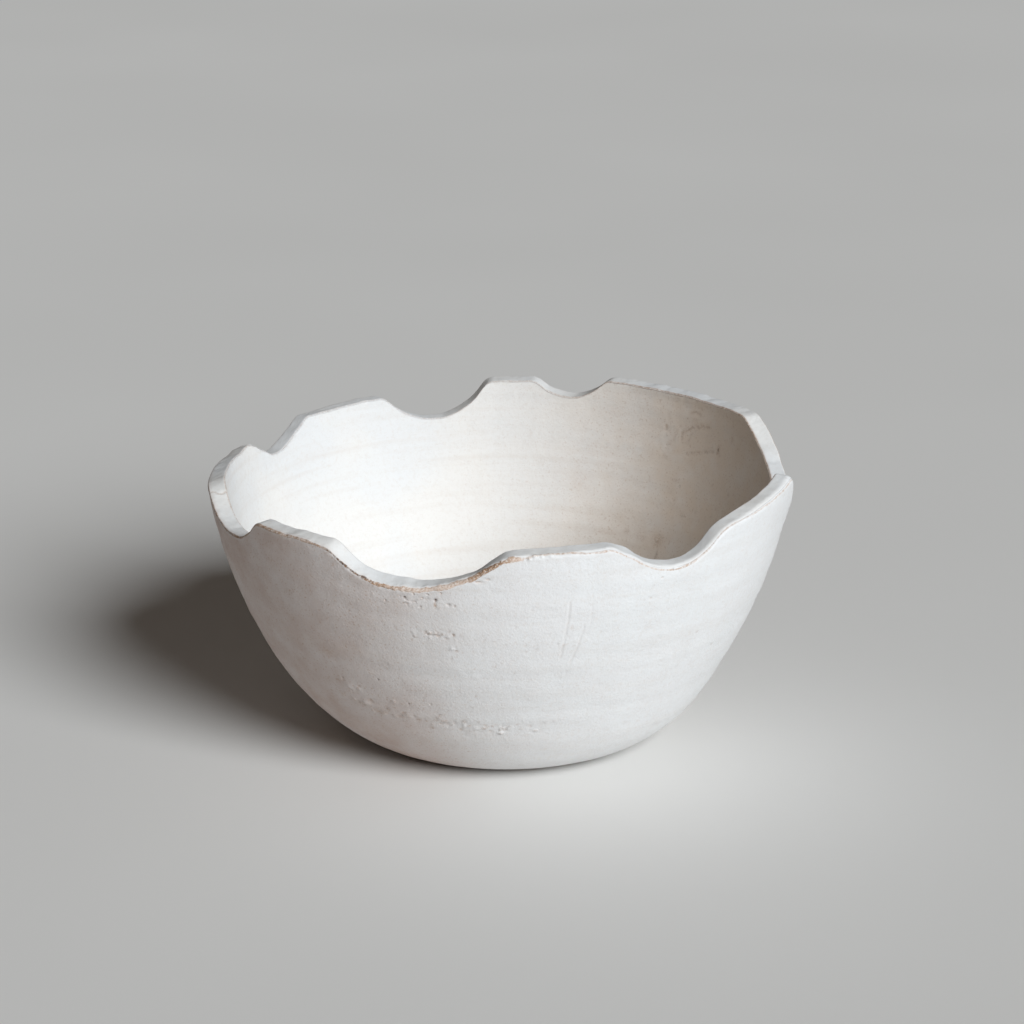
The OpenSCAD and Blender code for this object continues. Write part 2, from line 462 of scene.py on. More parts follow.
# White chips that stand out just under the edge.
OUTER_MARKS += scattered(23, 16, (273.8, 280.2), (144.6, 148.2), (0.5, 0.9), (0.40, 1.00), 0.0)
# Inside: round the larger marks, and thinly elsewhere.
INNER_MARKS += scattered(19, 40, (5, 75), (60, 145), (0.5, 1.0), (-0.25, 0.15), 0.35)
INNER_MARKS += scattered(20, 24, (75, 360), (30, 130), (0.4, 0.7), (-0.20, 0.15), 0.12)

# Distance up the wall for each millimetre of level, near enough.
STEEP = 1.15

# A mark is left out where its spread, in half widths squared, is more than this.
MARK_REACH = 9

# The lip along a scratch, against the scratch's depth, and how much wider it spreads, squared.
LIP = 0.35
LIP_SPREAD = 4

# Rings left by the wheel: how far apart and their share, and how much they wander.
WHEEL_RINGS = ((4.3, 0.22), (5.9, 0.35), (8.1, 0.5), (11.7, 0.7), (17.0, 1.0))
RING_WANDER = 0.8

# How far each seed moves the noise along the three axes.
NOISE_OFFSETS = (17.3, 5.1, 9.7)


def aside(bearing, middle, radius):
    """Distance round the bowl from a middle bearing."""
    return np.radians((bearing - middle + 180) % 360 - 180) * radius


def marked(bearing, level, radius, marks):
    """Height, stain and darkness that a list of marks gives at each point."""
    height, stain, dark = np.zeros((3, len(bearing)))
    for mark in marks:
        spread = (aside(bearing, mark.bearing, radius) / mark.wide) ** 2
        spread += ((level - mark.level) * STEEP / mark.tall) ** 2
        near = np.flatnonzero(spread < MARK_REACH)
        shape = np.exp(-spread[near])
        height[near] += mark.raised * shape
        stronger = near[mark.stain * shape > stain[near]]
        dark[stronger] = mark.dark
        stain[near] = np.maximum(stain[near], mark.stain * shape)
    return height, stain, dark


def traced(bearing, level, radius, traces):
    """Height and stain of bent lines, each with a slight lip along its sides."""
    height, stain = np.zeros((2, len(bearing)))
    for trace in traces:
        nearest = np.full(len(bearing), FAR)
        for (b0, l0), (b1, l1) in zip(trace.points, trace.points[1:]):
            x = aside(bearing, b0, radius)
            y = (level - l0) * STEEP
            dx = math.radians(b1 - b0) * radius
            dy = (l1 - l0) * STEEP
            t = np.clip((x * dx + y * dy) / (dx * dx + dy * dy), 0, 1)
            nearest = np.minimum(nearest, np.hypot(x - t * dx, y - t * dy))
        ratio = (nearest / trace.wide) ** 2
        height += trace.raised * ((1 + LIP) * np.exp(-ratio) - LIP * np.exp(-ratio / LIP_SPREAD))
        stain = np.maximum(stain, trace.stain * np.exp(-ratio))
    return height, stain


def turning(bearing, level, seed, size):
    """Faint rings left by the wheel, which wander a little round the bowl."""
    dice = random.Random(seed)
    total = np.zeros(len(bearing))
    for period, share in WHEEL_RINGS:
        count = dice.choice((-2, -1, 1, 2, 3))
        start = dice.uniform(0, 2 * math.pi)
        phase = np.radians(bearing) * count + level * 2 * math.pi / period + start
        total += share * np.sin(phase + RING_WANDER * np.sin(np.radians(bearing) * (count + 3) + start))
    return total * size


def lumpy(points, scale, seed):
    """Smooth noise over a set of points, about -1 to 1."""
    shift = Vector([seed * offset for offset in NOISE_OFFSETS])
    return np.array([noise.noise(Vector(p) / scale + shift) for p in points.tolist()])


# ---- building a mesh from rows

# One ring of a mesh: a row, how far below the skin it lies, and how many columns apart its vertices are
# (0 stands for a single point on the axis).
Ring = namedtuple("Ring", "row depth step")
LAYERS = ("out_r", "out_z", "outer_edge", "inner_edge", "underside", "buried")


def strip(first, second):
    """Faces between two rings of vertex numbers; either may have half as many, or be one point."""
    n, m = len(first), len(second)
    if n == 1 and m == 1:
        return []
    if n == 1 or m == 1:
        ring, tip = (second, first[0]) if n == 1 else (first, second[0])
        return [(ring[i], ring[(i + 1) % len(ring)], tip) for i in range(len(ring))]
    if n == m:
        return [(first[i], first[(i + 1) % n], second[(i + 1) % n], second[i]) for i in range(n)]
    fine, coarse = (first, second) if n > m else (second, first)
    faces = []
    for i in range(len(coarse)):
        a, b, c = fine[2 * i], fine[2 * i + 1], fine[(2 * i + 2) % len(fine)]
        here, after = coarse[i], coarse[(i + 1) % len(coarse)]
        faces += [(a, b, here), (b, c, after, here)]
    return faces


def read(items, name, width=1, kind=float):
    """One property of all of a mesh's vertices, faces or corners, as an array."""
    values = np.empty(len(items) * width, dtype=kind)
    items.foreach_get(name, values)
    return values.reshape(-1, width) if width > 1 else values


def layer_of(mesh, layer):
    return read(mesh.attributes[layer].data, "value", kind=np.float32)


def set_layer(mesh, layer, values):
    data = mesh.attributes.new(layer, "FLOAT", "POINT").data
    data.foreach_set("value", values.astype(np.float32))


def new_mesh(name, rings):
    """Closed mesh through a loop of rings, in millimetres, with what each vertex knows as layers."""
    points = []
    layers = {layer: [] for layer in LAYERS}
    numbers = []
    total = 0
    for row, depth, step in rings:
        columns = slice(None, None, step) if step else slice(0, 1)
        place = (row.place - row.out * depth)[columns]
        turned = np.radians(BEARINGS[columns])
        x, y = place[:, 0] * np.cos(turned), place[:, 0] * np.sin(turned)
        points.append(np.stack([x, y, place[:, 1]], -1))
        buried = row.underside * 0 + float(depth > 0)
        values = (row.out[:, 0], row.out[:, 1], row.outer_edge, row.inner_edge, row.underside, buried)
        for layer, value in zip(LAYERS, values):
            layers[layer].append(value[columns])
        numbers.append(list(range(total, total + len(place))))
        total += len(place)
    faces = []
    for first, second in zip(numbers, numbers[1:] + numbers[:1]):
        faces += strip(first, second)
    mesh = bpy.data.meshes.new(name)
    mesh.from_pydata(np.concatenate(points).tolist(), [], faces)
    for layer in LAYERS:
        set_layer(mesh, layer, np.concatenate(layers[layer]))
    return mesh


# Marks broader than BROAD aren't refined. Those under TINY that show more than PLAIN are refined twice.
BROAD = 5
TINY = 1.0
PLAIN = 0.7

# The area to refine: a share of the mark's half width and half height, and a margin beyond each.
MARK_AREA = (2.0, 1.4, 1.8)
TINY_AREA = (1.6, 0.4, 0.5)

# Spots along each stretch of a trace, and the half width and half height refined round each.
TRACE_SPOTS = 8
TRACE_AREA = (2.2, 2.8)


def refine(mesh, spots, on_inside):
    """Divides the faces near each spot, given as (bearing, level, half width, half height)."""
    centres = read(mesh.polygons, "center", 3)
    starts = read(mesh.polygons, "loop_start", kind=np.int32)
    first = read(mesh.loops, "vertex_index", kind=np.int32)[starts]
    edge = layer_of(mesh, "inner_edge" if on_inside else "outer_edge")[first]
    shown = layer_of(mesh, "buried")[first] == 0
    shown &= (edge > 0) if on_inside else (edge < 0)
    shown = np.flatnonzero(shown & (np.abs(edge) < NEARLY_FAR))
    bearing = np.degrees(np.arctan2(centres[shown, 1], centres[shown, 0]))
    level = centres[shown, 2]
    radius = np.hypot(centres[shown, 0], centres[shown, 1])
    chosen = np.zeros(len(shown), dtype=bool)
    for middle, height, wide, tall in spots:
        chosen |= (np.abs(aside(bearing, middle, radius)) < wide) & (np.abs(level - height) < tall)
    build = bmesh.new()
    build.from_mesh(mesh)
    build.faces.ensure_lookup_table()
    edges = set()
    for number in shown[chosen].tolist():
        edges.update(build.faces[number].edges)
    bmesh.ops.subdivide_edges(build, edges=list(edges), cuts=1, use_grid_fill=True)
    build.to_mesh(mesh)
    build.free()


def area_round(mark, area):
    """A mark's place, with the half width and half height to refine round it."""
    share, beside, above = area
    return mark.bearing, mark.level, share * mark.wide + beside, share * mark.tall + above


def refined(mesh, marks, traces, on_inside):
    """Refines a mesh for its small marks and traces, and once more for the smallest marks."""
    spots = [area_round(m, MARK_AREA) for m in marks if max(m.wide, m.tall) < BROAD]
    for trace in traces:
        for (b0, l0), (b1, l1) in zip(trace.points, trace.points[1:]):
            for t in np.linspace(0, 1, TRACE_SPOTS):
                spots.append((b0 + (b1 - b0) * t, l0 + (l1 - l0) * t, *TRACE_AREA))
    refine(mesh, spots, on_inside)
    tiny = [m for m in marks if min(m.wide, m.tall) < TINY and m.stain + abs(m.raised) > PLAIN]
    refine(mesh, [area_round(m, TINY_AREA) for m in tiny], on_inside)


# ---- from smooth skin to worn surface

# Thickness of the slip where it covers the clay, how far it sinks where worn through, how deep the
# back of its mesh lies, and how high the bare ring round the foot is.
SLIP = 0.6
TUCK = 0.3
BACK = 1.0
HEEL_BARE = 1.3

# The lower part of the bowl stands to one side of its rim.
DRIFT = 3.4
DRIFT_TOP = 55.0

# The tip on the right flares out a little: its bearing, half width in degrees, how far out it goes, and
# the levels between which it grows.
TIP_BEARING = 356.0
TIP_WIDE = 20.0
TIP_OUT = 3.0
TIP_LEVELS = (118.0, 150.0)

# Wear along the outer edge: bearing, half width, raggedness and darkness from 0 to 1, how far its
# middle is from the middle of the rounding, and its strength.
OUTER_WEAR = [
    (0, 0.4, 0.1, 0.3, 0, 0.7), (60, 0.5, 0.2, 0.35, 0, 0.7), (150, 0.45, 0.2, 0.4, 0, 0.7),
    (175, 0.3, 0.1, 0.4, 0, 0.3), (187, 0.4, 0.1, 0.7, 0, 0.8), (206, 0.6, 0.2, 0.65, -0.2, 0.9),
    (214, 0.85, 0.2, 0.5, -0.2, 0.9), (222, 0.8, 0.2, 0.5, -0.2, 0.9), (230, 0.8, 0.2, 0.45, -0.4, 0.8),
    (235, 0.6, 0.2, 0.6, -0.5, 0.9), (238, 0.5, 0.2, 0.95, -0.3, 1), (244, 0.7, 0.6, 0.8, -0.2, 1),
    (248, 1.2, 0.9, 0.35, -0.3, 0.95), (253, 1.5, 0.4, 0.12, -0.6, 0.85),
    (260, 1.6, 0.6, 0.12, -0.6, 0.85), (264, 1.7, 0.8, 0.22, -0.3, 0.95),
    (266.5, 1.9, 1, 0.55, -0.3, 1), (269.5, 1.8, 1, 0.58, -0.3, 1), (271.5, 1.4, 1, 0.3, -0.6, 0.9),
    (274, 1.1, 0.7, 0.12, -1, 0.7), (276.5, 0.5, 0.4, 0.2, 0.9, 0.65), (282, 0.5, 0.3, 0.3, 0.9, 0.75),
    (286, 0.5, 0.2, 0.3, -0.6, 0.7), (300, 0.5, 0.1, 0.3, -1.1, 0.65), (306, 0.5, 0.2, 0.5, -1.2, 0.8),
    (310, 0.5, 0.1, 0.3, -0.4, 0.6), (316, 0.5, 0.1, 0.3, -0.2, 0.6), (320, 0.45, 0.1, 0.3, 0, 0.6),
    (328, 0.45, 0.1, 0.3, -0.9, 0.6), (334, 0.45, 0.1, 0.32, -1.3, 0.62),
    (338, 0.45, 0.1, 0.35, -1.2, 0.65), (346, 0.45, 0.1, 0.4, -0.9, 0.7),
    (353, 0.45, 0.1, 0.35, -0.5, 0.7),
]

# Wear along the inner edge: bearing, half width and strength.
INNER_WEAR = [
    (0, 0.45, 0.75), (20, 0.5, 0.85), (28, 0.55, 0.7), (60, 0.7, 0.6), (78, 0.6, 0.4),
    (110, 0.45, 0.35), (150, 0.45, 0.35), (180, 0.45, 0.45), (195, 0.5, 0.6), (220, 0.5, 0.55),
    (228, 0.35, 0.15), (270, 0.35, 0.15), (290, 0.4, 0.3), (306, 0.55, 0.6), (330, 0.5, 0.7),
]

# How thin the slip is, from 0 to 1, by bearing outside and inside. The same values also paint shade: they are
# highest on the sides that face away from the light.
OUTER_THIN_AND_SHADE = [
    (0, 0.05), (60, 0.3), (110, 0.45), (150, 0.5), (195, 0.8), (225, 0.75), (240, 0.6), (252, 0.4),
    (264, 0.16), (285, 0.06), (330, 0),
]
INNER_THIN_AND_SHADE = [
    (0, 0.95), (30, 1), (48, 0.85), (60, 0.6), (75, 0.32), (92, 0.14), (120, 0.05), (180, 0), (250, 0),
    (300, 0.35), (335, 0.8),
]

# On the floor inside, the slip is about as thin all round: how thin, and the radii between which that
# gives way to the wall's own mix of thin slip and painted shade.
FLOOR_THIN = 0.30
FLOOR_THIN_RADII = (15.0, 85.0)

# How much the clouds and the broad noise vary the mask of thin slip and painted shade.
CLOUDY = 0.2
BLOTCHY = 0.05

# A patch low on the left, on the side away from the light, that is partly thinner slip and partly painted
# shade: how much, its bearing and half width, its top and its fade.
LOW_THIN_AND_SHADE = 0.25
LOW_PATCH_BEARING = 240
LOW_PATCH_WIDE = 30
LOW_PATCH_TOP = 80
LOW_PATCH_FADE = 60

# Over how far the outside and the inside give way to the cut face.
OUTER_BLEND = 5
INNER_BLEND = 2.5

# Sizes of four noises, and the relief that the three smaller ones give all over, on the cut face and
# where the edge crumbles.
CLOUD_SIZE = 34.0
BROAD_SIZE = 13.0
SMALL_SIZE = 4.2
GRAIN_SIZE = 1.9
SKIN_RELIEF = (0.15, 0.05, 0.02)
FACE_RELIEF = (0.0, 0.10, 0.04)
CRUMBLE_RELIEF = (0.0, 0.25, 0.45)

# How deep the crumbling goes and how far from the edge it reaches.
CRUMBLE_DEPTH = 0.15
CRUMBLE_REACH = 2.2

# Height of the wheel's rings outside and inside, and the level by which the outer ones are whole.
OUTER_RINGS = 0.06
INNER_RINGS = 0.08
OUTER_RINGS_FROM = 20

# Over how far worn edges fade into the slip, and how much the noise moves them and the worn foot.
OUTER_WEAR_FADE = 0.7
INNER_WEAR_FADE = 0.8
OUTER_UNEVEN = 0.12
INNER_UNEVEN = 0.15
HEEL_UNEVEN = 0.4
RAGGED = (0.0, 0.8, 0.9)

# How wide the edge's wear is before the clay comes right through, and over how much more.
WIDE_WEAR = 0.8
WIDE_WEAR_FADE = 0.4

# The wire's spiral underneath: depth, its ridges' spacing over pi, and the radius where it fades out.
WIRE_DEPTH = 0.25
WIRE_SPACING = 2.1
WIRE_RADIUS = 64
WIRE_FADE = 3

# Darkness of the clay at the foot, along the inner edge, and where nothing else says.
HEEL_DARK = 0.5
INNER_EDGE_DARK = 0.45
PLAIN_DARK = 0.55


def eased(values):
    values = np.clip(values, 0, 1)
    return values * values * (3 - 2 * values)


def summed(sizes, noises):
    return sum(size * wave for size, wave in zip(sizes, noises))


def finish_surface(mesh, values):
    """Leaves named values on the vertices in place of the layers, and makes the faces smooth."""
    for layer in LAYERS:
        mesh.attributes.remove(mesh.attributes[layer])
    for name, numbers in values.items():
        set_layer(mesh, name, numbers)
    build = bmesh.new()
    build.from_mesh(mesh)
    bmesh.ops.recalc_face_normals(build, faces=build.faces)
    build.to_mesh(mesh)
    build.free()
    mesh.polygons.foreach_set("use_smooth", [True] * len(mesh.polygons))
    mesh.update()


def weather(mesh, is_clay):
    """Moves a smooth mesh's vertices to the worn surface, and leaves what the materials need to know.

    That is how bare, stained and dark each vertex is, and a mask that is partly thin slip and partly painted
    shade, each from 0 to 1."""
    points = read(mesh.vertices, "co", 3)
    known = {layer: layer_of(mesh, layer) for layer in LAYERS}
    bearing = np.degrees(np.arctan2(points[:, 1], points[:, 0])) % 360
    level = points[:, 2]
    radius = np.hypot(points[:, 0], points[:, 1])
    turned = np.radians(bearing)
    outward = np.stack([known["out_r"] * np.cos(turned), known["out_r"] * np.sin(turned), known["out_z"]], -1)
    outer_edge, inner_edge, beneath = known["outer_edge"], known["inner_edge"], known["underside"]
    on_outer = np.clip(0.5 - outer_edge / OUTER_BLEND, 0, 1) * (1 - beneath)
    on_inner = np.clip(0.5 + inner_edge / INNER_BLEND, 0, 1)
    on_face = np.clip(1 - on_outer - on_inner - beneath, 0, 1)

    cloudy = lumpy(points, CLOUD_SIZE, 4)
    broad = lumpy(points, BROAD_SIZE, 1)
    small = lumpy(points, SMALL_SIZE, 2)
    grain = lumpy(points, GRAIN_SIZE, 3)
    noises = (broad, small, grain)

    half, ragged, edge_dark, middle, strength = [by_bearing(OUTER_WEAR, bearing, n) for n in range(1, 6)]
    inner_half, inner_strength = [by_bearing(INNER_WEAR, bearing, n) for n in (1, 2)]
    outer_away = np.abs(outer_edge - middle) - half - OUTER_UNEVEN * small
    outer_away -= ragged * summed(RAGGED, noises)
    inner_away = np.abs(inner_edge) - inner_half - INNER_UNEVEN * small
    heel_away = np.where(outer_edge < 0, level - HEEL_BARE - HEEL_UNEVEN * small, FAR)
    worn_outer = (1 - eased(outer_away / OUTER_WEAR_FADE + 0.5)) * strength
    worn_inner = (1 - eased(inner_away / INNER_WEAR_FADE + 0.5)) * inner_strength
    worn_heel = np.maximum(1 - eased(heel_away + 0.5), beneath)
    bare = np.maximum.reduce([worn_outer, worn_inner, worn_heel])

    outer_height, outer_stain, outer_dark = marked(bearing, level, radius, OUTER_MARKS)
    inner_height, inner_stain, inner_dark = marked(bearing, level, radius, INNER_MARKS)
    outer_line, outer_line_stain = traced(bearing, level, radius, OUTER_TRACES)
    inner_line, inner_line_stain = traced(bearing, level, radius, INNER_TRACES)
    outer_height += outer_line
    outer_height += turning(bearing, level, 21, OUTER_RINGS) * eased(level / OUTER_RINGS_FROM)
    inner_height += inner_line + turning(bearing, level, 22, INNER_RINGS)
    crack = np.zeros(len(points))
    stain = np.maximum(on_outer * np.maximum(outer_stain, outer_line_stain),
                       on_inner * np.maximum(inner_stain, inner_line_stain))
    for place, wide, depth, showing in FACE_CRACKS:
        shape = on_face * np.exp(-(aside(bearing, place + small, radius) / wide) ** 2)
        crack += depth * shape
        stain = np.maximum(stain, showing * shape)

    crumbly = ragged * np.exp(-(outer_edge / CRUMBLE_REACH) ** 2)
    relief = summed(SKIN_RELIEF, noises) - crack
    relief += on_outer * outer_height + on_inner * inner_height
    relief += on_face * summed(FACE_RELIEF, noises)
    relief += crumbly * (summed(CRUMBLE_RELIEF, noises) - CRUMBLE_DEPTH)
    relief *= 1 - beneath
    wire = WIRE_DEPTH * np.abs(np.sin(radius / WIRE_SPACING + turned))
    relief -= beneath * wire * eased((WIRE_RADIUS - radius) / WIRE_FADE)

    # The clay comes right through only at the foot and where the edge is worn wide.
    through = np.maximum(worn_heel, worn_outer * eased((half - WIDE_WEAR) / WIDE_WEAR_FADE))
    if is_clay:
        moved = relief - SLIP * (1 - through)
    else:
        moved = relief - TUCK * through * (1 - known["buried"])
    final = points + outward * moved[:, None]
    final[:, 2] = np.maximum(final[:, 2], 0.0)
    final[:, 0] += DRIFT * eased((DRIFT_TOP - level) / DRIFT_TOP)
    tip = np.exp(-(aside(bearing, TIP_BEARING, 1.0) / math.radians(TIP_WIDE)) ** 2)
    flare = TIP_OUT * tip * eased((level - TIP_LEVELS[0]) / (TIP_LEVELS[1] - TIP_LEVELS[0]))
    final[:, 0] += flare * np.cos(turned)
    final[:, 1] += flare * np.sin(turned)
    mesh.vertices.foreach_set("co", (final * MM).ravel())

    mark_dark = np.where(on_outer > 0.5, outer_dark, inner_dark)
    dark = np.where(stain > bare, mark_dark, edge_dark)
    dark[(worn_inner > worn_outer) & (stain < bare)] = INNER_EDGE_DARK
    dark[worn_heel > 0.5] = HEEL_DARK
    dark[dark <= 0] = PLAIN_DARK
    # The mask below is partly thin slip and partly painted shade: it is highest on the sides away from the
    # light.
    low = eased((LOW_PATCH_TOP - level) / LOW_PATCH_FADE)
    low *= eased(1 - np.abs(bearing - LOW_PATCH_BEARING) / LOW_PATCH_WIDE)
    from_axis = eased((radius - FLOOR_THIN_RADII[0]) / (FLOOR_THIN_RADII[1] - FLOOR_THIN_RADII[0]))
    inner_thin_and_shade = FLOOR_THIN + (by_bearing(INNER_THIN_AND_SHADE, bearing) - FLOOR_THIN) * from_axis
    thin_and_shade = on_outer * (by_bearing(OUTER_THIN_AND_SHADE, bearing) + LOW_THIN_AND_SHADE * low) + on_inner * inner_thin_and_shade
    thin_and_shade = np.clip(thin_and_shade * (1 + CLOUDY * cloudy) + BLOTCHY * broad * on_outer, 0, 1)
    finish_surface(mesh, {"bare": bare, "stain": stain, "dark": dark, "thin_and_shade": thin_and_shade})


# ---- the four pieces

# The rows of the two rounded edges at which the coats meet.
OUTER_SEAM = 5
INNER_SEAM = 3

# Rows of the walls, the cut face, the floor inside and the underside, and the last two's last radius.
OUTER_ROWS = 64
INNER_ROWS = 60
CLAY_OUTER_ROWS = 34
CLAY_INNER_ROWS = 30
FACE_ROWS = 8
BASIN_ROWS = 25
UNDER_ROWS = 20
LAST_RADIUS = 2.0

# Columns from one vertex to the next on the walls, near the rim, and beyond each radius elsewhere.
WALL_STEP = 2
RIM_STEP = 1
LEVEL_STEPS = ((45, 2), (22, 4), (11, 8), (5, 16), (0, 32))

# On the back of a coat only every so many rows are kept, and inside the first few are left out.
BACK_EVERY = 9
RIM_BACK_EVERY = 5
INNER_BACK_FIRST = 3

outer_edge_rows = arc_rows(outside)
inner_edge_rows = arc_rows(inside)
face = face_rows(FACE_ROWS)
inner_curve = section_points(inner_reach, SWEEP[SWEEP < 90.0])
basin_radius = float(section_points(inner_reach, BASIN_ANGLE)[0])


def step_at(radius):
    """Columns between vertices at a radius, so that faces stay about square; 0 on the axis."""
    return next((step for beyond, step in LEVEL_STEPS if radius > beyond), 0)


def disc_rings(edge, count, curve, up, underside):
    """Rings of a nearly level surface from inside its edge in to a point on the axis."""
    radii = np.append(np.linspace(edge, LAST_RADIUS, count)[1:], 0.0)
    levels = np.interp(radii, curve[:, 0], curve[:, 1])
    rows = [level_row(radius, level, up, underside) for radius, level in zip(radii, levels)]
    return [Ring(row, 0.0, step_at(radius)) for row, radius in zip(rows, radii)]


basin = disc_rings(basin_radius, BASIN_ROWS, inner_curve, 1.0, False)
under = disc_rings(foot_radius, UNDER_ROWS, np.array([[0.0, 0.0], [FAR, 0.0]]), -1.0, True)


def rings_of(rows, step):
    return [Ring(row, 0.0, step) for row in rows]


def shell(front, every):
    """Rings of a thin coat: its front, then its back, which lies deeper and has fewer rows."""
    back = [front[-1]] + front[-1 - every:0:-every] + [front[0]]
    return front + [Ring(ring.row, BACK, ring.step) for ring in back]


def outer_slip():
    wall = wall_rows(outside, OUTER_ROWS, NEAR_RIM)
    near_rim = wall[OUTER_ROWS:] + outer_edge_rows[:OUTER_SEAM + 1]
    front = rings_of(wall[:OUTER_ROWS], WALL_STEP) + rings_of(near_rim, RIM_STEP)
    return new_mesh("Outer_slip", shell(front, BACK_EVERY))


def rim_slip():
    rows = outer_edge_rows[OUTER_SEAM:] + face + inner_edge_rows[:INNER_SEAM + 1]
    return new_mesh("Rim_slip", shell(rings_of(rows, RIM_STEP), RIM_BACK_EVERY))


def inner_slip():
    wall = wall_rows(inside, INNER_ROWS, NEAR_RIM)
    near_rim = wall[INNER_ROWS:] + inner_edge_rows[INNER_SEAM:]
    front = rings_of(near_rim[::-1], RIM_STEP) + rings_of(wall[INNER_ROWS - 1::-1], WALL_STEP)
    back = [Ring(ring.row, BACK, ring.step) for ring in basin[::-1]]
    kept_rings = front[::-1][INNER_BACK_FIRST::BACK_EVERY] + [front[0]]
    back += [Ring(ring.row, BACK, WALL_STEP) for ring in kept_rings]
    return new_mesh("Inner_slip", front + basin + back)


def clay_body():
    rings = under[::-1] + rings_of(wall_rows(outside, CLAY_OUTER_ROWS, SPARSE_NEAR_RIM), WALL_STEP)
    rings += rings_of(outer_edge_rows + face[::2] + inner_edge_rows, RIM_STEP)
    inner_wall = wall_rows(inside, CLAY_INNER_ROWS, SPARSE_NEAR_RIM)[::-1]
    rings += rings_of(inner_wall, WALL_STEP) + basin
    return new_mesh("Clay_body", rings)


def place_piece(mesh, material, node):
    """Puts a mesh in the scene in place of a CAD node."""
    mesh.materials.append(material)
    shown = bpy.data.objects.new(mesh.name, mesh)
    bpy.context.collection.objects.link(shown)
    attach(shown, "root")
    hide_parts(node)


# ---- materials

CLAY_PALE = (0.72, 0.59, 0.51, 1)
CLAY = (0.44, 0.275, 0.175, 1)
CLAY_DARK = (0.07, 0.036, 0.022, 1)
CHALK = (0.82, 0.78, 0.73, 1)
WHITE = (0.84, 0.83, 0.81, 1)
COOL = (0.80, 0.81, 0.815, 1)
BRIGHT = (0.82, 0.825, 0.83, 1)
WARM = (0.66, 0.575, 0.50, 1)
# Tints for thinner slip, which also serve as painted shade on the sides away from the light: pink outside and
# on the rim, beige inside.
PINK_THIN_AND_SHADE = (0.56, 0.45, 0.405, 1)
BEIGE_THIN_AND_SHADE = (0.74, 0.63, 0.53, 1)
FLOOR_DEEP = (0.765, 0.752, 0.73, 1)
FLOOR_PALE = (0.795, 0.782, 0.76, 1)

# Scales of the three sizes of bump, and the stretch that makes level brush lines.
BUMP_SCALES = (260.0, 800.0, 2000.0)
BRUSH_STRETCH = (7.0, 7.0, 190.0)


def add(tree, kind, inputs=None, **settings):
    """A node with its settings, whose inputs are values or other nodes' outputs."""
    made = tree.nodes.new(kind)
    for name, value in settings.items():
        setattr(made, name, value)
    for key, value in (inputs or {}).items():
        if isinstance(value, bpy.types.NodeSocket):
            tree.links.new(value, made.inputs[key])
        else:
            made.inputs[key].default_value = value
    return made


def mixed(tree, amount, first, second):
    return add(tree, "ShaderNodeMix", {0: amount, 6: first, 7: second}, data_type="RGBA").outputs[2]


def maths(tree, operation, first, second):
    return add(tree, "ShaderNodeMath", {0: first, 1: second}, operation=operation).outputs[0]


def spread(tree, value, low, high, to_low=0.0, to_high=1.0):
    """A value carried from one range to another, clamped."""
    return add(tree, "ShaderNodeMapRange", {
        "Value": value, "From Min": low, "From Max": high, "To Min": to_low, "To Max": to_high}).outputs[0]


def grainy(tree, place, scale, detail=2.0, roughness=0.5):
    return add(tree, "ShaderNodeTexNoise", {
        "Vector": place, "Scale": scale, "Detail": detail, "Roughness": roughness}).outputs[0]


def layer_value(tree, name):
    return add(tree, "ShaderNodeAttribute", attribute_name=name).outputs["Fac"]


def surface(name):
    """A new material: itself, its node tree, its shader and the object's own coordinates."""
    material = bpy.data.materials.new(name)
    material.use_nodes = True
    tree = material.node_tree
    shader = tree.nodes["Principled BSDF"]
    shader.inputs["Specular IOR Level"].default_value = 0.25
    return material, tree, shader, add(tree, "ShaderNodeTexCoord").outputs["Object"]


def clay_colour(tree, place):
    """Fired clay, from pale and chalky to dark brown by the dark layer, with pale grains in it."""
    uneven = spread(tree, grainy(tree, place, 900.0, 3.0), 0.3, 0.7, -0.25, 0.25)
    tone = maths(tree, "ADD", layer_value(tree, "dark"), uneven)
    colour = mixed(tree, spread(tree, tone, 0.05, 0.50), CLAY_PALE, CLAY)
    colour = mixed(tree, spread(tree, tone, 0.50, 1.00), colour, CLAY_DARK)
    grains = spread(tree, grainy(tree, place, 1300.0, 2.0), 0.55, 0.64, 0.0, 0.75)
    return mixed(tree, grains, colour, CHALK)


def roughened(tree, shader, place, low, high, coarse, middle, fine):
    """Uneven roughness, and three sizes of bump, one over another."""
    tree.links.new(spread(tree, grainy(tree, place, 500.0), 0.3, 0.7, low, high), shader.inputs["Roughness"])
    normal = None
    for scale, height in zip(BUMP_SCALES, (coarse, middle, fine)):
        inputs = {"Height": grainy(tree, place, scale, 2.0), "Strength": 1.0, "Distance": height * MM}
        if normal:
            inputs["Normal"] = normal
        normal = add(tree, "ShaderNodeBump", inputs).outputs[0]
    tree.links.new(normal, shader.inputs["Normal"])


def clay_material():
    material, tree, shader, place = surface("fired_clay")
    tree.links.new(clay_colour(tree, place), shader.inputs["Base Color"])
    roughened(tree, shader, place, 0.80, 0.95, 0.20, 0.18, 0.10)
    return material


